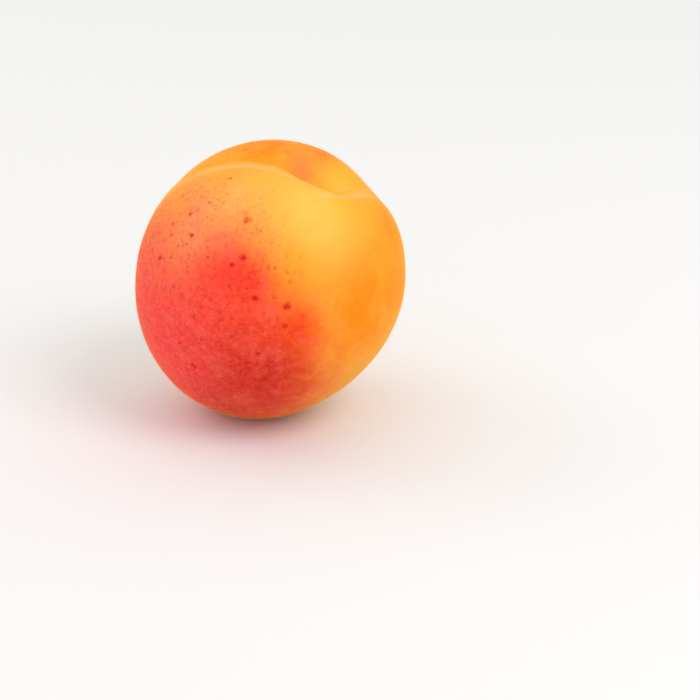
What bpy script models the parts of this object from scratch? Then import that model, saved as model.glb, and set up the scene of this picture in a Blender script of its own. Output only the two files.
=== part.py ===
# A whole apricot, lying on its side with the stem end up and to the right.
#
# The fruit is one solid. It starts as a sphere whose rings and meridians are
# drawn together at the stem end and along the suture, and every vertex is then
# moved out to the surface that fruit_radius() describes. Last, the fruit is
# turned to the way it lies and gets the small flat spot that it rests on.

import math

import bmesh
import bpy
from mathutils import Matrix, Vector

NAME = "apricot"

# Body, in metres
LENGTH = 0.0565            # from stem end to tip
SUTURE_WIDTH = 0.0515      # from the suture to the opposite side
CHEEK_WIDTH = 0.0513       # from cheek to cheek
STEM_FULLNESS = 0.08       # how much wider the stem half is than the tip half
TIP_HEIGHT = 0.0006        # the blunt point at the tip
TIP_ANGLE = 0.15

# Suture: a narrow crease in a broad valley
CREASE_DEPTH = 0.0009
CREASE_HALF_WIDTH = 0.0016
VALLEY_DEPTH = 0.0023
VALLEY_HALF_WIDTH = 0.0080
VALLEY_FADE = 0.3          # how much of the valley's depth is gone below the shoulder
SUTURE_BEND = 0.0009       # how far it strays to one cheek at the shoulder
SUTURE_DRIFT = 0.0020      # and how far at the middle

# Stem cavity, beside the long axis
CAVITY_DEPTH = 0.0065
CAVITY_RADIUS = 0.0044
CAVITY_X = 0.0008
CAVITY_Y = -0.0023

# A shallow, longish dip that leads from the cavity over the far shoulder
DIP_DEPTH = 0.0022
DIP_HALF_LENGTH = 0.0070
DIP_HALF_WIDTH = 0.0046
DIP_X = -0.0025
DIP_Y = -0.0095
DIP_TURN = 48.0            # of its long way, in degrees

# The side that it lies on is a little fuller
BELLY_HEIGHT = 0.0010
BELLY_ANGLE = 0.5

# How it lies, in degrees
LEAN = 31.9                # of the long axis, from upright
HEADING = -29.5            # the way it leans
TURN = -174.9              # of the fruit about its own axis
FLAT_SINK = 0.0010         # how far the flat spot is above the lowest point

# Mesh
MERIDIANS = 96
RINGS = 60
SUTURE_CROWDING = 0.55
STEM_CROWDING = 0.30

SKIN_COLOR = (0.95, 0.33, 0.07, 1.0)
SKIN_ROUGHNESS = 0.62


def bump(distance, width, power=2.0):
    return math.exp(-((distance / width) ** power))


def fade(value, low, high):
    t = min(max((value - low) / (high - low), 0.0), 1.0)
    return t * t * (3.0 - 2.0 * t)


def body_radius(dx, dy, dz):
    swell = 1.0 + STEM_FULLNESS * dz
    half_suture = SUTURE_WIDTH / 2 * swell
    half_cheek = CHEEK_WIDTH / 2 * swell
    return 1.0 / math.sqrt((dx / half_suture) ** 2 + (dy / half_cheek) ** 2
                           + (dz / (LENGTH / 2)) ** 2)


def suture_depth(radius, angle, dx, dy):
    # The suture runs down the +X side, from the cavity to the tip.
    path = CAVITY_Y * bump(angle, 0.25) + SUTURE_BEND * bump(angle - 0.8, 0.4)
    path += SUTURE_DRIFT * bump(angle - 1.25, 0.45)
    beside = radius * dy - path
    near_stem = bump(angle, 0.75)
    near_tip = bump(math.pi - angle, 0.6)
    crease = CREASE_DEPTH * (0.35 + near_stem + 0.2 * near_tip) * bump(beside, CREASE_HALF_WIDTH)
    share = 0.6 + 0.6 * near_stem - 0.1 * near_tip - VALLEY_FADE * fade(angle, 0.75, 1.25)
    valley = VALLEY_DEPTH * share * bump(beside, VALLEY_HALF_WIDTH)
    return (crease + valley) * fade(dx, -0.05, 0.25)


def stem_depth(x, y):
    cavity = math.hypot(x - CAVITY_X, y - CAVITY_Y)
    turn = math.radians(DIP_TURN)
    along = (x - DIP_X) * math.cos(turn) + (y - DIP_Y) * math.sin(turn)
    across = (y - DIP_Y) * math.cos(turn) - (x - DIP_X) * math.sin(turn)
    dip = bump(math.hypot(along / DIP_HALF_LENGTH, across / DIP_HALF_WIDTH), 1.0)
    return CAVITY_DEPTH * bump(cavity, CAVITY_RADIUS, 1.6) + DIP_DEPTH * dip


def fruit_radius(angle, longitude, underside):
    # angle is measured from the stem end, longitude from the suture.
    dx = math.sin(angle) * math.cos(longitude)
    dy = math.sin(angle) * math.sin(longitude)
    dz = math.cos(angle)
    radius = body_radius(dx, dy, dz)
    radius -= suture_depth(radius, angle, dx, dy)
    if dz > 0.0:
        radius -= stem_depth(radius * dx, radius * dy)
    below = math.acos(min(max(dx * underside.x + dy * underside.y + dz * underside.z, -1.0), 1.0))
    radius += BELLY_HEIGHT * bump(below, BELLY_ANGLE)
    return radius + TIP_HEIGHT * bump(math.pi - angle, TIP_ANGLE)


def surface_point(direction, underside):
    angle = math.acos(min(max(direction.z, -1.0), 1.0))
    longitude = math.atan2(direction.y, direction.x)
    angle -= STEM_CROWDING * math.sin(angle)
    longitude -= SUTURE_CROWDING * math.sin(longitude)
    radius = fruit_radius(angle, longitude, underside)
    return radius * Vector((math.sin(angle) * math.cos(longitude),
                            math.sin(angle) * math.sin(longitude),
                            math.cos(angle)))


def lying_matrix():
    heading = Matrix.Rotation(math.radians(HEADING), 4, "Z")
    lean = Matrix.Rotation(math.radians(LEAN), 4, "Y")
    turn = Matrix.Rotation(math.radians(TURN), 4, "Z")
    return heading @ lean @ turn


def rest_on_floor(bm):
    # Press the underside flat, then bring the flat spot to Z = 0 and the
    # middle of the fruit's box to the origin.
    floor = min(v.co.z for v in bm.verts) + FLAT_SINK
    for vert in bm.verts:
        vert.co.z = max(vert.co.z, floor)
    xs = [v.co.x for v in bm.verts]
    ys = [v.co.y for v in bm.verts]
    middle = Vector(((min(xs) + max(xs)) / 2, (min(ys) + max(ys)) / 2, floor))
    bmesh.ops.translate(bm, verts=bm.verts, vec=-middle)


def skin_material():
    material = bpy.data.materials.new("skin")
    material.use_nodes = True
    shader = material.node_tree.nodes["Principled BSDF"]
    shader.inputs["Base Color"].default_value = SKIN_COLOR
    shader.inputs["Roughness"].default_value = SKIN_ROUGHNESS
    shader.inputs["Metallic"].default_value = 0.0
    material.diffuse_color = SKIN_COLOR
    return material


def make_fruit(collection):
    bm = bmesh.new()
    bmesh.ops.create_uvsphere(bm, u_segments=MERIDIANS, v_segments=RINGS, radius=1.0)
    lying = lying_matrix()
    underside = lying.inverted() @ Vector((0.0, 0.0, -1.0))
    for vert in bm.verts:
        vert.co = surface_point(vert.co.normalized(), underside)
    bmesh.ops.transform(bm, matrix=lying, verts=bm.verts)
    rest_on_floor(bm)
    bmesh.ops.recalc_face_normals(bm, faces=bm.faces)
    mesh = bpy.data.meshes.new(NAME)
    bm.to_mesh(mesh)
    bm.free()
    mesh.materials.append(skin_material())
    mesh.shade_smooth()
    fruit = bpy.data.objects.new(NAME, mesh)
    collection.objects.link(fruit)
    return fruit


def main():
    for old in list(bpy.data.objects):
        bpy.data.objects.remove(old, do_unlink=True)
    collection = bpy.data.collections.new("Apricot")
    bpy.context.scene.collection.children.link(collection)
    make_fruit(collection)


main()
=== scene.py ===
import math

import bmesh
import bpy
from mathutils import Matrix, Vector


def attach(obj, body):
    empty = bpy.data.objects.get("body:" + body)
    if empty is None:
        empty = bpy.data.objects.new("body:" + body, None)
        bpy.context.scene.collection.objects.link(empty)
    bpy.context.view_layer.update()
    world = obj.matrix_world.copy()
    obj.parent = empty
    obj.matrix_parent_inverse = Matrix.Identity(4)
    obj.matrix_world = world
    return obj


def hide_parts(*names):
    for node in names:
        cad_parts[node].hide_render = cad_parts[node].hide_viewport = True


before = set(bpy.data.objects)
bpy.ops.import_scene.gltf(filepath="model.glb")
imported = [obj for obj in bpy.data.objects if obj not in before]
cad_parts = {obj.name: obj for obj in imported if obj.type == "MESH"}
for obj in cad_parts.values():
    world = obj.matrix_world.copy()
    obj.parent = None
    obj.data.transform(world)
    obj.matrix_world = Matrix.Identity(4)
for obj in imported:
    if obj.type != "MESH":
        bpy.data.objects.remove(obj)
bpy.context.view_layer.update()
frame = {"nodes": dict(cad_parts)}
print("frame loaded:", ", ".join(frame["nodes"]))


cameraLook = {
    "location": (-0.00136, -0.38871, 0.18427),
    "tilt": 66.178,                            # degrees, 90 is level
    "turn": -2.481,                            # degrees, negative is to the right
    "lens": 110.8,
    "sensor": 36.0,
    "nearest": 0.01,
}


def makeCamera():
    data = bpy.data.cameras.new("camera")
    data.lens = cameraLook["lens"]
    data.sensor_width = cameraLook["sensor"]
    data.clip_start = cameraLook["nearest"]
    camera = bpy.data.objects.new("camera", data)
    camera.location = cameraLook["location"]
    camera.rotation_euler = (math.radians(cameraLook["tilt"]), 0.0, math.radians(cameraLook["turn"]))
    bpy.context.scene.collection.objects.link(camera)
    bpy.context.scene.camera = camera


makeCamera()
bpy.context.scene.view_settings.view_transform = "Standard"
print("camera set")


class Wire:                                    # a node's output that adds and multiplies like a number
    def __init__(self, sheet, socket):
        self.sheet = sheet
        self.socket = socket

    def __add__(self, other):
        return self.sheet.math("ADD", self, other)

    def __radd__(self, other):
        return self.sheet.math("ADD", other, self)

    def __sub__(self, other):
        return self.sheet.math("SUBTRACT", self, other)

    def __rsub__(self, other):
        return self.sheet.math("SUBTRACT", other, self)

    def __mul__(self, other):
        return self.sheet.math("MULTIPLY", self, other)

    def __rmul__(self, other):
        return self.sheet.math("MULTIPLY", other, self)

    def __truediv__(self, other):
        return self.sheet.math("DIVIDE", self, other)

    def __rtruediv__(self, other):
        return self.sheet.math("DIVIDE", other, self)

    def __pow__(self, other):
        return self.sheet.math("POWER", self, other)


class Sheet:                                   # a node tree while it is written
    def __init__(self, tree):
        self.tree = tree
        tree.nodes.clear()

    def add(self, kind, settings=None, values=(), out=0):
        node = self.tree.nodes.new(kind)
        for name, value in (settings or {}).items():
            if name == "stops":
                fillRamp(node.color_ramp, value)
            else:
                setattr(node, name, value)
        pairs = values.items() if isinstance(values, dict) else enumerate(values)
        for key, value in pairs:
            if isinstance(value, Wire):
                self.tree.links.new(value.socket, node.inputs[key])
            else:
                node.inputs[key].default_value = value
        if isinstance(out, tuple):
            return [Wire(self, node.outputs[name]) for name in out]
        return Wire(self, node.outputs[out]) if node.outputs else node

    def math(self, operation, *values):
        return self.add("ShaderNodeMath", {"operation": operation}, values)

    def bell(self, distance, width):           # 1 at the middle, fading to 0
        ratio = distance / width
        return self.math("EXPONENT", ratio * ratio * -1.0)

    def fade(self, value, low, high):          # 0 below low, 1 above high
        return self.add("ShaderNodeMapRange", {"interpolation_type": "SMOOTHSTEP"},
                        {"Value": value, "From Min": low, "From Max": high, "To Min": 0.0, "To Max": 1.0})

    def angleOf(self, cosine):                 # in radians, safe where rounding passes 1
        return self.math("ARCCOSINE", self.math("MAXIMUM", self.math("MINIMUM", cosine, 1.0), -1.0))

    def split(self, place):
        return self.add("ShaderNodeSeparateXYZ", None, [place], out=("X", "Y", "Z"))

    def join(self, x, y, z):
        return self.add("ShaderNodeCombineXYZ", None, [x, y, z])

    def dot(self, first, second):
        return self.add("ShaderNodeVectorMath", {"operation": "DOT_PRODUCT"}, [first, second], out="Value")

    def blend(self, factor, first, second):    # each color is a wire or plain red, green and blue
        first, second = [color if isinstance(color, Wire) else (*color, 1.0) for color in (first, second)]
        return self.add("ShaderNodeMix", {"data_type": "RGBA"}, {0: factor, 6: first, 7: second}, out=2)

    def noise(self, place, scale, detail, roughness):
        return self.add("ShaderNodeTexNoise", None,
                        {"Vector": place, "Scale": scale, "Detail": detail, "Roughness": roughness})


def fillRamp(ramp, stops):
    while len(ramp.elements) < len(stops):
        ramp.elements.new(1.0)
    for element, (position, color) in zip(ramp.elements, stops):
        element.position = position
        element.color = (*color, 1.0)


def newGrower(name, sizes):                    # an empty geometry tree with its sizes as inputs
    tree = bpy.data.node_groups.new(name, "GeometryNodeTree")
    sheet = Sheet(tree)
    for label, value in sizes.items():
        kind = "NodeSocketInt" if isinstance(value, int) else "NodeSocketFloat"
        socket = tree.interface.new_socket(label, in_out="INPUT", socket_type=kind)
        socket.default_value = value
    tree.interface.new_socket("Geometry", in_out="OUTPUT", socket_type="NodeSocketGeometry")
    entry = tree.nodes.new("NodeGroupInput")
    return sheet, {label: Wire(sheet, entry.outputs[label]) for label in sizes}


def growPiece(name, sheet, sizes, material, shape):
    real = sheet.add("GeometryNodeRealizeInstances", None, {"Geometry": shape})
    dressed = sheet.add("GeometryNodeSetMaterial", None, {"Geometry": real, "Material": material})
    sheet.add("NodeGroupOutput", None, {"Geometry": dressed})
    piece = bpy.data.objects.new(name, bpy.data.meshes.new(name + "Seed"))
    bpy.context.scene.collection.objects.link(piece)
    modifier = piece.modifiers.new("grow", "NODES")
    modifier.node_group = sheet.tree
    for socket in sheet.tree.interface.items_tree:
        if socket.in_out == "INPUT":
            modifier[socket.identifier] = sizes[socket.name]
    depsgraph = bpy.context.evaluated_depsgraph_get()
    mesh = bpy.data.meshes.new_from_object(piece.evaluated_get(depsgraph),
                                           preserve_all_data_layers=True, depsgraph=depsgraph)
    mesh.name = name
    piece.modifiers.clear()
    piece.data = mesh
    print(name, "grown:", len(mesh.polygons), "faces")
    return piece


def newMaterial(name):
    material = bpy.data.materials.new(name)
    material.use_nodes = True
    sheet = Sheet(material.node_tree)
    shader = material.node_tree.nodes.new("ShaderNodeBsdfPrincipled")
    target = material.node_tree.nodes.new("ShaderNodeOutputMaterial")
    material.node_tree.links.new(shader.outputs[0], target.inputs["Surface"])
    return material, sheet, shader


def feed(sheet, shader, **inputs):             # links what varies, sets what doesn't
    for label, value in inputs.items():
        socket = shader.inputs[label.replace("_", " ")]
        if isinstance(value, Wire):
            sheet.tree.links.new(value.socket, socket)
        else:
            socket.default_value = value


roomLook = {
    "worldStrength": 0.90,
    "worldColor": (1.0, 0.995, 0.985),
    "floorColor": (0.80, 0.797, 0.79),
    "floorRoughness": 0.9,
    "floorSize": 6.0,
    "lamps": {                                 # power, width and place
        "keyLamp": (2.4, 0.45, (0.42, -0.38, 0.62)),
        "rimLamp": (0.7, 0.5, (-0.55, 0.25, 0.45)),
    },
    "aim": (0.0, 0.0, 0.027),                  # the middle of the fruit
}


def makeLamp(name, power, width, place):
    data = bpy.data.lights.new(name, "AREA")
    data.shape = "DISK"
    data.size = width
    data.energy = power
    lamp = bpy.data.objects.new(name, data)
    lamp.location = place
    beam = Vector(roomLook["aim"]) - Vector(place)
    lamp.rotation_euler = beam.to_track_quat("-Z", "Y").to_euler()
    bpy.context.scene.collection.objects.link(lamp)


def makeFloor():
    bm = bmesh.new()
    bmesh.ops.create_grid(bm, x_segments=1, y_segments=1, size=roomLook["floorSize"] / 2)
    mesh = bpy.data.meshes.new("floor")
    bm.to_mesh(mesh)
    bm.free()
    floor = bpy.data.objects.new("floor", mesh)
    bpy.context.scene.collection.objects.link(floor)
    material, sheet, shader = newMaterial("floorPaint")
    feed(sheet, shader, Base_Color=(*roomLook["floorColor"], 1.0), Roughness=roomLook["floorRoughness"])
    mesh.materials.append(material)


def makeRoom():
    world = bpy.data.worlds.new("room")
    world.use_nodes = True
    back = world.node_tree.nodes["Background"]
    back.inputs["Color"].default_value = (*roomLook["worldColor"], 1.0)
    back.inputs["Strength"].default_value = roomLook["worldStrength"]
    bpy.context.scene.world = world
    for name, (power, width, place) in roomLook["lamps"].items():
        makeLamp(name, power, width, place)
    makeFloor()


makeRoom()
print("room lit")


fruitShape = {                                 # metres, and radians from the stalk's end
    "Length": 0.0565,
    "Suture Width": 0.0515,
    "Cheek Width": 0.0513,
    "Stem Fullness": 0.08,
    "Tip Height": 0.0006,
    "Tip Angle": 0.15,
    "Stem End": 0.75,                          # how far the ends of the suture reach
    "Tip End": 0.6,
    "Crease Depth": 0.0009,
    "Crease Half Width": 0.0016,
    "Crease Middle": 0.35,                     # shares of the depth, away from the stalk
    "Crease Tip": 0.2,
    "Valley Depth": 0.0023,
    "Valley Half Width": 0.0080,
    "Valley Middle": 0.6,
    "Valley Stem": 0.6,
    "Valley Tip": 0.1,                         # a share that is taken off
    "Valley Fade": 0.3,
    "Valley Fade From": 0.75,
    "Valley Fade To": 1.25,
    "Cavity Spread": 0.25,                     # how the suture's line bends to the cavity and aside
    "Suture Bend": 0.0009,
    "Bend Angle": 0.8,
    "Bend Spread": 0.4,
    "Suture Drift": 0.0020,
    "Drift Angle": 1.25,
    "Drift Spread": 0.45,
    "Suture From": -0.05,                      # the sunken half, as a share of the radius
    "Suture To": 0.25,
    "Cavity Depth": 0.0065,
    "Cavity Radius": 0.0044,
    "Cavity Steepness": 1.6,
    "Cavity X": 0.0008,
    "Cavity Y": -0.0023,
    "Dip Depth": 0.0022,
    "Dip Half Length": 0.0070,
    "Dip Half Width": 0.0046,
    "Dip X": -0.0025,
    "Dip Y": -0.0095,
    "Dip Turn": math.radians(48.0),
    "Belly Height": 0.0010,
    "Belly Angle": 0.5,
    "Flat Sink": 0.0010,
    "Floor Softness": 0.00035,
    "Lump Height": 0.00016,
    "Pucker Height": 0.00010,
    "Pucker Count": 13.0,
    "Pucker Waver": 9.0,
    "Pucker From": 0.0008,
    "Pucker To": 0.0030,
    "Suture Crowding": 0.55,                   # draws points to where the form is fine
    "Stem Crowding": 0.30,
}

fruitPlace = {                                 # how it is meshed, and how it lies, in degrees
    "meridians": 396,
    "rings": 240,
    "heading": -29.5,
    "lean": 31.9,
    "turn": -174.9,
    "lumpNoise": (3.2, 2.0, 0.45),             # scale, detail and roughness
    "puckerNoise": (7.0, 1.0, 0.5),
}


def lyingMatrix():
    heading = Matrix.Rotation(math.radians(fruitPlace["heading"]), 3, "Z")
    lean = Matrix.Rotation(math.radians(fruitPlace["lean"]), 3, "Y")
    turn = Matrix.Rotation(math.radians(fruitPlace["turn"]), 3, "Z")
    return heading @ lean @ turn


def keepField(sheet, body, label, field, kind="FLOAT", domain="POINT"):
    return sheet.add("GeometryNodeStoreNamedAttribute", {"data_type": kind, "domain": domain},
                     {"Geometry": body, "Name": label, "Value": field})


def startBall(sheet, size):                    # a ball of radius 1, and what is known at each spot
    ball, unwrapped = sheet.add("GeometryNodeMeshUVSphere", None,
                                {"Segments": fruitPlace["meridians"], "Rings": fruitPlace["rings"],
                                 "Radius": 1.0}, out=("Mesh", "UV Map"))
    ball = keepField(sheet, ball, "OFBake", unwrapped, "FLOAT2", "CORNER")
    x, y, z = sheet.split(sheet.add("GeometryNodeInputPosition"))
    angle = sheet.angleOf(z)
    longitude = sheet.math("ARCTAN2", y, x)
    angle = angle - size["Stem Crowding"] * sheet.math("SINE", angle)
    longitude = longitude - size["Suture Crowding"] * sheet.math("SINE", longitude)
    dx = sheet.math("SINE", angle) * sheet.math("COSINE", longitude)
    dy = sheet.math("SINE", angle) * sheet.math("SINE", longitude)
    dz = sheet.math("COSINE", angle)
    return ball, {"angle": angle, "dx": dx, "dy": dy, "dz": dz, "direction": sheet.join(dx, dy, dz)}


def plainRadius(sheet, size, spot):            # fuller towards the stalk
    swell = 1.0 + size["Stem Fullness"] * spot["dz"]
    acrossSuture = spot["dx"] / (size["Suture Width"] * 0.5 * swell)
    acrossCheeks = spot["dy"] / (size["Cheek Width"] * 0.5 * swell)
    along = spot["dz"] / (size["Length"] * 0.5)
    squares = acrossSuture * acrossSuture + acrossCheeks * acrossCheeks + along * along
    return 1.0 / sheet.math("SQRT", squares)


def sinkSuture(sheet, size, spot, radius):     # the crease in its valley, from the cavity to the tip
    angle = spot["angle"]
    nearStem = sheet.bell(angle, size["Stem End"])
    nearTip = sheet.bell(math.pi - angle, size["Tip End"])
    path = size["Cavity Y"] * sheet.bell(angle, size["Cavity Spread"]) \
        + size["Suture Bend"] * sheet.bell(angle - size["Bend Angle"], size["Bend Spread"]) \
        + size["Suture Drift"] * sheet.bell(angle - size["Drift Angle"], size["Drift Spread"])
    beside = radius * spot["dy"] - path
    crease = size["Crease Depth"] * (size["Crease Middle"] + nearStem + size["Crease Tip"] * nearTip) \
        * sheet.bell(beside, size["Crease Half Width"])
    share = size["Valley Middle"] + size["Valley Stem"] * nearStem - size["Valley Tip"] * nearTip \
        - size["Valley Fade"] * sheet.fade(angle, size["Valley Fade From"], size["Valley Fade To"])
    valley = size["Valley Depth"] * share * sheet.bell(beside, size["Valley Half Width"])
    spot["sutureGap"] = beside
    spot["sutureSide"] = sheet.fade(spot["dx"], size["Suture From"], size["Suture To"])
    return radius - (crease + valley) * spot["sutureSide"]


def sinkCavity(sheet, size, spot, radius):     # where the stalk sat, and the dip that leads out of it
    flatX = radius * spot["dx"]
    flatY = radius * spot["dy"]
    fromX = flatX - size["Cavity X"]
    fromY = flatY - size["Cavity Y"]
    reach = sheet.math("SQRT", fromX * fromX + fromY * fromY)
    cavity = sheet.math("EXPONENT", -1.0 * (reach / size["Cavity Radius"]) ** size["Cavity Steepness"])
    spot["around"] = sheet.math("ARCTAN2", fromY, fromX)
    spot["reach"] = reach
    spot["cavity"] = cavity

    fromX = flatX - size["Dip X"]
    fromY = flatY - size["Dip Y"]
    cosine = sheet.math("COSINE", size["Dip Turn"])
    sine = sheet.math("SINE", size["Dip Turn"])
    dip = sheet.bell(fromX * cosine + fromY * sine, size["Dip Half Length"]) \
        * sheet.bell(fromY * cosine - fromX * sine, size["Dip Half Width"])

    stemHalf = sheet.math("GREATER_THAN", spot["dz"], 0.0)    # a reach past 1 is on the other half
    spot["stemReach"] = reach + 1.0 - stemHalf
    spot["tipReach"] = sheet.math("SQRT", flatX * flatX + flatY * flatY) + stemHalf
    return radius - (size["Cavity Depth"] * cavity + size["Dip Depth"] * dip) * stemHalf


def swellEnds(sheet, size, spot, radius):      # the belly that it rests on, and the tip
    under = lyingMatrix().inverted() @ Vector((0.0, 0.0, -1.0))
    below = sheet.angleOf(sheet.dot(spot["direction"], tuple(under)))
    radius = radius + size["Belly Height"] * sheet.bell(below, size["Belly Angle"])
    return radius + size["Tip Height"] * sheet.bell(math.pi - spot["angle"], size["Tip Angle"])


def roughenSkin(sheet, size, spot, radius):    # ripe flesh is uneven, and puckered round the stalk
    lumps = sheet.noise(spot["direction"], *fruitPlace["lumpNoise"]) - 0.5
    radius = radius + size["Lump Height"] * 2.0 * lumps
    waver = size["Pucker Waver"] * sheet.noise(spot["direction"], *fruitPlace["puckerNoise"])
    wrinkle = sheet.math("SINE", spot["around"] * size["Pucker Count"] + waver)
    return radius + size["Pucker Height"] * wrinkle * spot["cavity"] \
        * sheet.fade(spot["reach"], size["Pucker From"], size["Pucker To"])


def settleFruit(sheet, size, body):            # boxed round the origin and pressed flat at the floor
    low, high = sheet.add("GeometryNodeBoundBox", None, {"Geometry": body}, out=("Min", "Max"))
    lowX, lowY, lowZ = sheet.split(low)
    highX, highY = sheet.split(high)[:2]
    x, y, z = sheet.split(sheet.add("GeometryNodeInputPosition"))
    height = sheet.math("SMOOTH_MAX", z - lowZ - size["Flat Sink"], 0.0, size["Floor Softness"])
    settled = sheet.join(x - (lowX + highX) * 0.5, y - (lowY + highY) * 0.5, height)
    return sheet.add("GeometryNodeSetPosition", None, {"Geometry": body, "Position": settled})


def makeFruit(material):
    sheet, size = newGrower("fruitGrower", fruitShape)
    body, spot = startBall(sheet, size)
    radius = plainRadius(sheet, size, spot)
    for change in (sinkSuture, sinkCavity, swellEnds, roughenSkin):
        radius = change(sheet, size, spot, radius)
    for label in ("sutureGap", "sutureSide", "stemReach", "tipReach"):    # kept for the paint
        body = keepField(sheet, body, label, spot[label])
    lying = lyingMatrix().to_euler()
    outward = sheet.add("ShaderNodeVectorRotate", {"rotation_type": "EULER_XYZ"},
                        {"Vector": spot["direction"], "Rotation": lying})
    body = keepField(sheet, body, "outward", outward, "FLOAT_VECTOR")
    grown = sheet.add("ShaderNodeVectorMath", {"operation": "SCALE"},
                      {0: spot["direction"], "Scale": radius})
    body = sheet.add("GeometryNodeSetPosition", None, {"Geometry": body, "Position": grown})
    body = sheet.add("GeometryNodeTransform", None, {"Geometry": body, "Rotation": lying})
    body = settleFruit(sheet, size, body)
    body = sheet.add("GeometryNodeSetShadeSmooth", None, {"Geometry": body})
    return growPiece("fruitSkin", sheet, fruitShape, material, body)


skinLook = {                                   # directions are from the middle of the fruit
    "broadNoise": (130.0, 2.0, 0.5),           # scale, detail and roughness
    "mottleNoise": (620.0, 4.0, 0.62),
    "sunnySide": (-0.67, -0.68, -0.29),
    "blushFrom": -0.20,
    "blushTo": 1.00,
    "blushBroad": 0.20,
    "blushMottle": 0.42,
    "stops": [                                 # from the ripe ground color to the sunny cheek
        (0.00, (0.92, 0.450, 0.034)),
        (0.30, (0.93, 0.420, 0.052)),
        (0.41, (0.94, 0.335, 0.052)),
        (0.52, (0.95, 0.240, 0.048)),
        (0.61, (0.97, 0.140, 0.036)),
        (0.72, (0.99, 0.082, 0.044)),
        (0.85, (1.00, 0.060, 0.054)),
        (1.00, (1.00, 0.050, 0.066)),
    ],
    "patches": [                               # direction, angular size, strength, color
        ((-0.45, 0.85, 0.20), 0.50, 0.60, (0.93, 0.300, 0.012)),
        ((0.25, 0.90, -0.30), 0.60, 0.55, (0.88, 0.520, 0.060)),
        ((0.60, 0.55, 0.55), 0.45, 0.60, (0.94, 0.440, 0.045)),
        ((0.85, 0.30, -0.40), 0.55, 0.65, (0.92, 0.260, 0.008)),
        ((-0.10, 0.60, 0.79), 0.45, 0.55, (0.92, 0.280, 0.006)),
        # partly the fruit's own deeper orange, partly painted shade and painted orange reflection at the
        # lower right
        ((0.68, -0.71, 0.18), 0.58, 0.92, (0.92, 0.225, 0.000)),
        # painted highlight: a broad pale yellow patch where the light falls strongest
        ((0.36, -0.61, 0.70), 0.36, 0.84, (0.95, 0.530, 0.094)),
        ((0.89, -0.15, 0.35), 0.44, 0.85, (0.90, 0.250, 0.000)),
        ((0.06, 0.24, 0.97), 0.46, 0.86, (0.92, 0.205, 0.000)),
        ((0.46, 0.02, 0.89), 0.16, 0.70, (0.93, 0.510, 0.050)),
        ((0.56, -0.08, 0.82), 0.13, 0.60, (0.95, 0.520, 0.060)),
        ((0.41, 0.18, 0.89), 0.15, 0.80, (0.92, 0.200, 0.015)),
        ((0.53, -0.41, 0.74), 0.15, 0.45, (0.93, 0.420, 0.010)),
        ((0.17, -0.88, 0.44), 0.19, 0.55, (0.93, 0.370, 0.000)),
        # painted shade: a darker pink patch just behind the suture's crest
        ((0.29, -0.05, 0.96), 0.14, 0.75, (0.95, 0.200, 0.060)),
        ((-0.56, -0.54, 0.63), 0.38, 0.75, (1.00, 0.245, 0.092)),
        ((-0.44, -0.63, 0.64), 0.26, 0.50, (1.00, 0.290, 0.110)),
        ((-0.23, -0.54, 0.81), 0.20, 0.55, (0.98, 0.490, 0.110)),
        ((-0.61, -0.31, 0.73), 0.17, 0.45, (0.97, 0.360, 0.030)),
        ((-0.28, -0.28, 0.92), 0.12, 0.50, (0.95, 0.320, 0.010)),
        ((-0.38, -0.84, 0.39), 0.16, 0.70, (0.98, 0.028, 0.030)),
        ((-0.20, -0.89, 0.41), 0.17, 0.72, (0.98, 0.028, 0.024)),
        ((-0.10, -0.93, 0.34), 0.18, 0.58, (0.97, 0.030, 0.018)),
        ((0.18, -0.98, 0.08), 0.18, 0.76, (0.93, 0.034, 0.008)),
        ((-0.15, -0.97, -0.06), 0.26, 0.52, (0.90, 0.042, 0.018)),
        # painted shadow: these two dark red patches make it darker towards the bottom
        ((-0.06, -0.91, -0.40), 0.38, 0.90, (0.58, 0.006, 0.006)),
        ((-0.16, -0.62, -0.78), 0.42, 0.75, (0.58, 0.014, 0.014)),
    ],
    "patchBroad": 1.6,
    "patchMottle": 1.2,
    "shadySide": (0.20, 0.95, -0.15),
    "shadyRange": (0.05, 0.60),
    "cloudNoise": (62.0, 3.0, 0.55),
    "cloudRange": (0.46, 0.70),
    "cloudStrength": 0.45,
    "cloudTint": (0.94, 0.260, 0.012),
    "rosyNoise": (260.0, 2.0, 0.5),
    "rosyRange": (0.50, 0.68),
    "rosyBlush": (0.35, 0.60),
    "rosyStrength": 0.40,
    "rosyTint": (1.0, 0.120, 0.085),
    "roughness": 0.55,
    "roughnessMottle": 0.2,
    "fineNoise": (2600.0, 2.0, 0.6),
    "fineStrength": 0.12,
    "fineHeight": 0.0004,
    "finish": {
        "Subsurface_Weight": 0.10,
        "Subsurface_Radius": (0.004, 0.0016, 0.0008),
        "Subsurface_Scale": 1.0,
        "Sheen_Weight": 0.04,
        "Sheen_Roughness": 0.5,
        "Sheen_Tint": (1.0, 0.78, 0.60, 1.0),
        "Specular_IOR_Level": 0.07,
    },
}


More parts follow.
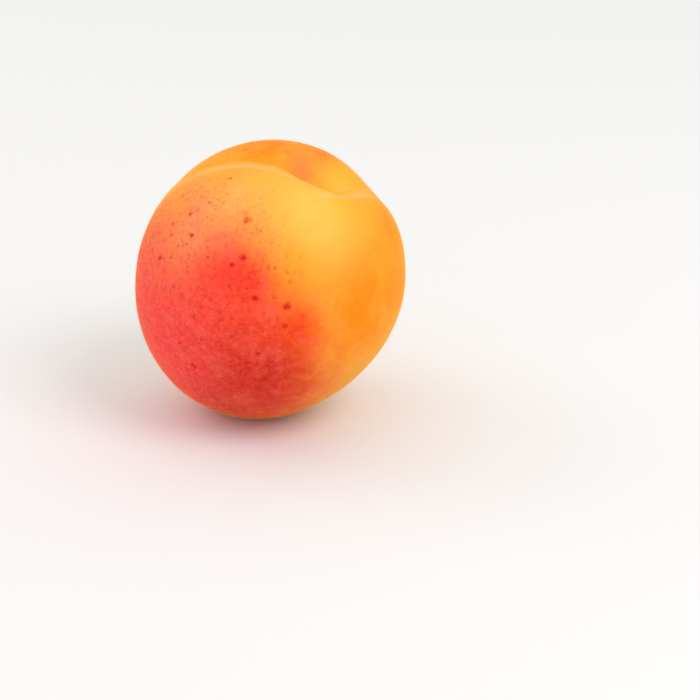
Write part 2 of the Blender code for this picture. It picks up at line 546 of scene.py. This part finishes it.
def paintGround(sheet, spot):                  # ripe yellow to the sunny cheek, what clouds it, and patches of painted highlight and shade
    broad, mottle = spot["broad"], spot["mottle"]
    sunny = sheet.dot(spot["outward"], skinLook["sunnySide"])
    span = skinLook["blushTo"] - skinLook["blushFrom"]
    blush = (sunny + skinLook["blushBroad"] * broad + skinLook["blushMottle"] * mottle
             - skinLook["blushFrom"]) / span
    color = sheet.add("ShaderNodeValToRGB", {"stops": skinLook["stops"]}, [blush])
    coarse = skinLook["patchBroad"] * broad
    ragged = skinLook["patchMottle"] * mottle
    for direction, size, strength, tint in skinLook["patches"]:
        towards = sheet.dot(spot["outward"], Vector(direction).normalized())
        falling = (towards - 1.0) * (2.0 / size ** 2) + coarse + ragged
        color = sheet.blend(sheet.math("EXPONENT", falling) * strength, color, tint)

    shady = sheet.fade(sheet.dot(spot["outward"], skinLook["shadySide"]), *skinLook["shadyRange"])
    cloud = sheet.fade(sheet.noise(spot["place"], *skinLook["cloudNoise"]), *skinLook["cloudRange"])
    color = sheet.blend(cloud * shady * skinLook["cloudStrength"], color, skinLook["cloudTint"])
    rosy = sheet.fade(sheet.noise(spot["place"], *skinLook["rosyNoise"]), *skinLook["rosyRange"])
    rosy = rosy * sheet.fade(blush, *skinLook["rosyBlush"])
    spot["blush"] = blush
    spot["shady"] = shady
    return sheet.blend(rosy * skinLook["rosyStrength"], color, skinLook["rosyTint"])


freckleLook = {                                # small soft spots, in drifts on the sunny cheek
    "side": (-0.62, -0.74, 0.27),
    "sideWaver": 0.25,
    "sideRange": (0.55, 0.76),
    "grainNoise": (950.0, 2.0, 0.5),           # scale, detail and roughness
    "paleRange": (0.02, 0.18),
    "paleStrength": 0.32,
    "pale": (1.0, 0.120, 0.085),
    "darkRange": (0.02, 0.20),
    "darkStrength": 0.22,
    "red": (0.52, 0.014, 0.007),
    "driftNoise": (170.0, 2.0, 0.5),
    "driftRange": (0.36, 0.56),
    "driftLeast": 0.40,
    "speckNoise": (1150.0, 1.0, 0.4),
    "speckRange": (0.56, 0.80),
    "speckStrength": 0.8,
    "dotSpacing": 0.0018,
    "dotRadius": 0.00072,
    "dotLeast": 0.40,                          # the smallest, as a share of the largest
    "dotWaver": 0.8,
    "dotEdge": (0.12, 1.05),
    "shadyShare": 0.36,
    "strength": 0.56,
}


def paintFreckles(sheet, spot, color):
    look, place = freckleLook, spot["place"]
    freckled = sheet.dot(spot["outward"], look["side"]) + look["sideWaver"] * spot["broad"]
    freckled = sheet.fade(freckled, *look["sideRange"])
    grain = sheet.noise(place, *look["grainNoise"]) - 0.5
    spot["grain"] = grain
    pale = sheet.fade(grain * -1.0, *look["paleRange"]) * freckled
    color = sheet.blend(pale * look["paleStrength"], color, look["pale"])
    dark = sheet.fade(grain, *look["darkRange"]) * freckled
    color = sheet.blend(dark * look["darkStrength"], color, look["red"])

    specks = sheet.fade(sheet.noise(place, *look["speckNoise"]), *look["speckRange"])
    gap, cell = sheet.add("ShaderNodeTexVoronoi", None,
                          {"Vector": place, "Scale": 1.0 / look["dotSpacing"]}, out=("Distance", "Color"))
    grade = sheet.add("ShaderNodeSeparateColor", None, [cell], out="Red")
    limit = look["dotRadius"] / look["dotSpacing"] * (look["dotLeast"] + (1.0 - look["dotLeast"]) * grade)
    dots = 1.0 - sheet.fade(gap / limit + look["dotWaver"] * grain, *look["dotEdge"])
    dotted = sheet.math("MAXIMUM", freckled, look["shadyShare"] * spot["shady"])
    drift = sheet.fade(sheet.noise(place, *look["driftNoise"]), *look["driftRange"])
    drift = look["driftLeast"] + (1.0 - look["driftLeast"]) * drift
    freckles = sheet.math("MAXIMUM", specks * look["speckStrength"], dots) * dotted * drift
    return sheet.blend(freckles * look["strength"], color, look["red"])


markLook = {
    "marks": [                                 # heading and height in degrees, radius in mm
        (-100, 46, 0.85), (-100, 31, 0.78), (-105, 28, 0.60), (-94.5, 15.5, 0.72), (-82, 12, 0.95),
        (-83, 4, 0.70), (-126, -21, 0.85), (-146, 24, 0.70), (-136, 45, 0.55), (-94, -9, 0.60),
        (-131, -10, 0.50), (-123, 65, 0.45), (-129, 37, 0.50), (-99, -14, 0.55),
    ],
    "fruitRadius": 26.4,                       # mm, where the marks are
    "none": 9.0,                               # stands for no mark near, in radii of a mark
    "waver": 1.2,
    "edge": (0.15, 1.30),
    "strength": 0.62,
    "blushStrength": 0.32,
    "blushRange": (0.42, 0.60),
    "red": (0.60, 0.003, 0.006),
}


def paintMarks(sheet, spot, color):            # the few large ones, listed one by one
    nearest = markLook["none"]
    for heading, height, radius in markLook["marks"]:
        heading = math.radians(heading)
        height = math.radians(height)
        middle = (math.cos(height) * math.cos(heading), math.cos(height) * math.sin(heading),
                  math.sin(height))
        gap = sheet.add("ShaderNodeVectorMath", {"operation": "DISTANCE"}, [spot["outward"], middle],
                        out="Value")
        nearest = sheet.math("MINIMUM", gap * (markLook["fruitRadius"] / radius), nearest)
    mark = 1.0 - sheet.fade(nearest + markLook["waver"] * spot["grain"], *markLook["edge"])
    onBlush = sheet.fade(spot["blush"], *markLook["blushRange"])
    mark = mark * (markLook["strength"] + markLook["blushStrength"] * onBlush)
    return sheet.blend(mark, color, markLook["red"])


sutureLook = {                                 # metres from its line, and from the cavity's middle
    "waver": 0.001,
    "start": (0.003, 0.009),
    "crestPlace": 0.0045,
    "crestHalfWidth": 0.0010,
    "crestMottle": 1.2,
    "crestStrength": 0.55,
    "crestLoss": 0.42,
    "crestLossWaver": 0.008,
    "crestLossRange": (0.020, 0.0265),
    "crestSheenTint": (1.00, 0.520, 0.200),
    "creaseHalfWidth": 0.0006,
    "creaseShadeStrength": 0.50,
    "creaseShadeTint": (0.86, 0.190, 0.008),
}


def paintSuture(sheet, spot, color):           # painted shade in the crease, and a pale line of painted sheen on the crest beside it
    look = sutureLook
    waver = look["waver"] * spot["broad"]
    suture = spot["sutureSide"] * sheet.fade(spot["stemReach"], *look["start"])
    # painted sheen: a pale line along the crest, where the down catches the light
    crestSheen = sheet.bell(spot["sutureGap"] - look["crestPlace"] + waver, look["crestHalfWidth"])
    crestSheen = crestSheen * suture * (1.0 + look["crestMottle"] * spot["mottle"])
    loss = sheet.fade(spot["stemReach"] + look["crestLossWaver"] * spot["broad"], *look["crestLossRange"])
    crestSheen = crestSheen * (look["crestStrength"] - look["crestLoss"] * loss)
    color = sheet.blend(crestSheen, color, look["crestSheenTint"])
    # painted shade: a darker line down the crease
    crease = sheet.bell(spot["sutureGap"] + waver, look["creaseHalfWidth"]) * suture
    return sheet.blend(crease * look["creaseShadeStrength"], color, look["creaseShadeTint"])


endLook = {
    "lipSide": (0.62, -0.25, 0.744),           # the stretch of the cavity's lip that gets a painted highlight line
    "lipSideRange": (0.900, 0.950),
    "lipUp": (0.0, 0.3746, 0.9272),            # square to the line, which lies at this height along it
    "lipHeight": 0.0413,
    "lipWaver": 0.001,
    "lipHalfWidth": 0.00055,
    "lipPlace": 0.0075,
    "lipLength": 0.0030,
    "lipHighlightStrength": 0.46,
    "lipHighlightTint": (1.00, 0.520, 0.200),
    "hollowWaver": 0.002,
    "hollowRange": (0.0006, 0.0038),
    "cavityShadeStrength": 0.55,
    "cavityShadeTint": (0.74, 0.230, 0.012),
    "dryWaver": 0.0006,
    "dryRange": (0.0003, 0.0008),
    "dryStrength": 0.85,
    "dryBrown": (0.20, 0.090, 0.030),
}


def paintEnds(sheet, spot, color):             # painted highlight on the cavity's lip, painted shade on its floor, and the dry tip
    look = endLook
    acrossLip = sheet.dot(spot["place"], look["lipUp"]) - look["lipHeight"]
    # painted highlight: a pale line along the cavity's lip, at a set height across the view
    lip = sheet.bell(acrossLip + look["lipWaver"] * spot["broad"], look["lipHalfWidth"]) \
        * sheet.bell(spot["stemReach"] - look["lipPlace"], look["lipLength"]) \
        * sheet.fade(sheet.dot(spot["outward"], look["lipSide"]), *look["lipSideRange"])
    color = sheet.blend(lip * look["lipHighlightStrength"], color, look["lipHighlightTint"])
    # painted shade: darker towards the floor of the cavity
    cavityShade = spot["stemReach"] + look["hollowWaver"] * spot["broad"]
    cavityShade = 1.0 - sheet.fade(cavityShade, *look["hollowRange"])
    color = sheet.blend(cavityShade * look["cavityShadeStrength"], color, look["cavityShadeTint"])
    dry = spot["tipReach"] + look["dryWaver"] * spot["mottle"]
    dry = 1.0 - sheet.fade(dry, *look["dryRange"])
    return sheet.blend(dry * look["dryStrength"], color, look["dryBrown"])


def makeSkin():
    material, sheet, shader = newMaterial("skin")
    place = sheet.add("ShaderNodeTexCoord", out="Object")
    mottle = sheet.noise(place, *skinLook["mottleNoise"]) - 0.5
    spot = {"place": place, "mottle": mottle}
    spot["broad"] = sheet.noise(place, *skinLook["broadNoise"]) - 0.5
    spot["outward"] = sheet.add("ShaderNodeAttribute", {"attribute_name": "outward"}, out="Vector")
    for name in ("sutureGap", "sutureSide", "stemReach", "tipReach"):
        spot[name] = sheet.add("ShaderNodeAttribute", {"attribute_name": name}, out="Fac")
    color = paintGround(sheet, spot)
    for paint in (paintFreckles, paintMarks, paintSuture, paintEnds):
        color = paint(sheet, spot, color)

    fine = sheet.noise(place, *skinLook["fineNoise"])
    bump = sheet.add("ShaderNodeBump", None, {"Strength": skinLook["fineStrength"],
                                              "Distance": skinLook["fineHeight"], "Height": fine})
    rough = skinLook["roughness"] + skinLook["roughnessMottle"] * mottle
    feed(sheet, shader, Base_Color=color, Roughness=rough, Normal=bump, **skinLook["finish"])
    print("skin painted")
    return material


skin = makeFruit(makeSkin())
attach(skin, "root")
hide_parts("apricot")


scarShape = {                                  # where the stalk came off, on the floor of the cavity
    "Radius": 0.00185,
    "Thickness": 0.00070,
    "Dimple": 0.75,                            # shares of the thickness and of the radius
    "Dimple Half Width": 0.45,
    "Ridge Height": 0.00012,
    "Ridges": 11.0,
    "Ridge Waver": 3.0,
    "Ridge Reach": 0.10,
    "Edge Waver": 0.35,
    "Crumb Height": 0.00010,
}

scarLook = {
    "segments": 96,
    "rings": 40,
    "floorReach": 0.0008,                      # the part of the cavity's floor that it sits on
    "lift": 0.00030,
    "ridgeNoise": (1.3, 1.0, 0.5),             # scale, detail and roughness
    "edgeNoise": (0.9, 1.0, 0.5),
    "crumbNoise": (3.5, 3.0, 0.6),
    "core": (0.46, 0.270, 0.110),
    "edge": (0.200, 0.095, 0.036),
    "grainNoise": (3800.0, 3.0, 0.6),
    "grainRange": (0.35, 0.65),
    "grainStrength": 0.5,
    "grainHeight": 0.0001,
    "roughness": 0.9,
}


def makeScarPaint():
    material, sheet, shader = newMaterial("scar")
    place = sheet.add("ShaderNodeTexCoord", out="Object")
    grain = sheet.noise(place, *scarLook["grainNoise"])
    color = sheet.blend(sheet.fade(grain, *scarLook["grainRange"]), scarLook["edge"], scarLook["core"])
    bump = sheet.add("ShaderNodeBump", None, {"Strength": scarLook["grainStrength"],
                                              "Distance": scarLook["grainHeight"], "Height": grain})
    feed(sheet, shader, Base_Color=color, Roughness=scarLook["roughness"], Normal=bump)
    return material


def shapeScar(sheet, size):                    # a ridged, dimpled button of radius 1 made to size
    ball = sheet.add("GeometryNodeMeshUVSphere", None,
                     {"Segments": scarLook["segments"], "Rings": scarLook["rings"], "Radius": 1.0},
                     out="Mesh")
    place = sheet.add("GeometryNodeInputPosition")
    x, y, z = sheet.split(place)
    reach = sheet.math("SQRT", x * x + y * y)
    waver = size["Ridge Waver"] * sheet.noise(place, *scarLook["ridgeNoise"])
    ridge = sheet.math("SINE", sheet.math("ARCTAN2", y, x) * size["Ridges"] + waver)
    crumb = sheet.noise(place, *scarLook["crumbNoise"]) - 0.5
    edge = sheet.noise(place, *scarLook["edgeNoise"]) - 0.5
    wide = size["Radius"] * (1.0 + size["Ridge Reach"] * ridge * reach + size["Edge Waver"] * edge)
    dimple = 1.0 - size["Dimple"] * sheet.bell(reach, size["Dimple Half Width"])
    relief = size["Ridge Height"] * ridge * reach + size["Crumb Height"] * 2.0 * crumb
    rise = z * size["Thickness"] * dimple + relief * sheet.math("MAXIMUM", z, 0.0)
    return sheet.add("GeometryNodeSetPosition", None,
                     {"Geometry": ball, "Position": sheet.join(x * wide, y * wide, rise)})


def makeScar(material):
    reach = skin.data.attributes["stemReach"].data
    near = [vert for vert in skin.data.vertices if reach[vert.index].value < scarLook["floorReach"]]
    floor = sum((vert.co for vert in near), Vector()) / len(near)
    up = sum((vert.normal for vert in near), Vector()).normalized()
    sheet, size = newGrower("scarGrower", scarShape)
    shape = sheet.add("GeometryNodeTransform", None,
                      {"Geometry": shapeScar(sheet, size), "Translation": floor + up * scarLook["lift"],
                       "Rotation": up.to_track_quat("Z", "Y").to_euler()})
    shape = sheet.add("GeometryNodeSetShadeSmooth", None, {"Geometry": shape})
    return growPiece("stemScar", sheet, scarShape, material, shape)


scar = makeScar(makeScarPaint())
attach(scar, "root")


downShape = {                                  # the fine hairs, grown in a few batches
    "Density": 4.8e6,
    "Length": 0.00030,
    "Half Width": 0.000007,
    "Least Length": 0.5,                       # shares of the length
    "Most Length": 1.1,
    "Tilt": 0.55,
    "Suture Growth": 2.6,                      # how much thicker, how far beside its line and how wide
    "Growth Place": 0.003,
    "Growth Half Width": 0.003,
    "Clear Height": 0.0006,
    "Clear Scar": 0.0008,
}

downLook = {
    "seeds": (3, 11, 19, 27),
    "color": (1.0, 0.66, 0.05),
    "roughness": 0.7,
}


def scatterRoots(sheet, size):                 # none at the floor or on the scar, more by the suture
    ground = sheet.add("GeometryNodeObjectInfo", None, {"Object": skin}, out="Geometry")
    height = sheet.split(sheet.add("GeometryNodeInputPosition"))[2]
    gap, side, reach = [
        sheet.add("GeometryNodeInputNamedAttribute", {"data_type": "FLOAT"}, {"Name": label})
        for label in ("sutureGap", "sutureSide", "stemReach")
    ]
    beside = sheet.bell(gap - size["Growth Place"], size["Growth Half Width"])
    thick = 1.0 + size["Suture Growth"] * beside * side
    growing = sheet.math("GREATER_THAN", height, size["Clear Height"]) \
        * sheet.math("GREATER_THAN", reach, size["Clear Scar"])
    return sheet.add("GeometryNodeDistributePointsOnFaces", {"distribute_method": "RANDOM"},
                     {"Mesh": ground, "Selection": growing, "Density": size["Density"] * thick,
                      "Seed": size["Seed"]}, out=("Points", "Rotation"))


def makeDown(name, seed, material):
    sizes = {**downShape, "Seed": seed}
    sheet, size = newGrower(name + "Grower", sizes)
    points, upright = scatterRoots(sheet, size)
    hair = sheet.add("GeometryNodeMeshCone", {"fill_type": "NGON"},
                     {"Vertices": 3, "Radius Top": 0.0, "Radius Bottom": size["Half Width"],
                      "Depth": size["Length"]}, out="Mesh")
    tilt = size["Tilt"]
    low = sheet.join(-1.0 * tilt, -1.0 * tilt, 0.0)
    high = sheet.join(tilt, tilt, 2.0 * math.pi)
    sway = sheet.add("FunctionNodeRandomValue", {"data_type": "FLOAT_VECTOR"},
                     {0: low, 1: high, "Seed": size["Seed"]})
    sway = sheet.add("FunctionNodeEulerToRotation", None, [sway])
    turn = sheet.add("FunctionNodeRotateRotation", {"rotation_space": "LOCAL"},
                     {"Rotation": upright, "Rotate By": sway})
    grade = sheet.add("FunctionNodeRandomValue", {"data_type": "FLOAT"},
                      {2: size["Least Length"], 3: size["Most Length"], "Seed": size["Seed"]}, out=1)
    hairs = sheet.add("GeometryNodeInstanceOnPoints", None,
                      {"Points": points, "Instance": hair, "Rotation": turn, "Scale": grade})
    return growPiece(name, sheet, sizes, material, hairs)


def makeDownPaint():
    material, sheet, shader = newMaterial("down")
    feed(sheet, shader, Base_Color=(*downLook["color"], 1.0), Roughness=downLook["roughness"])
    return material


downPaint = makeDownPaint()
for number, seed in enumerate(downLook["seeds"], 1):
    down = makeDown(f"down{number}", seed, downPaint)
    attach(down, "root")
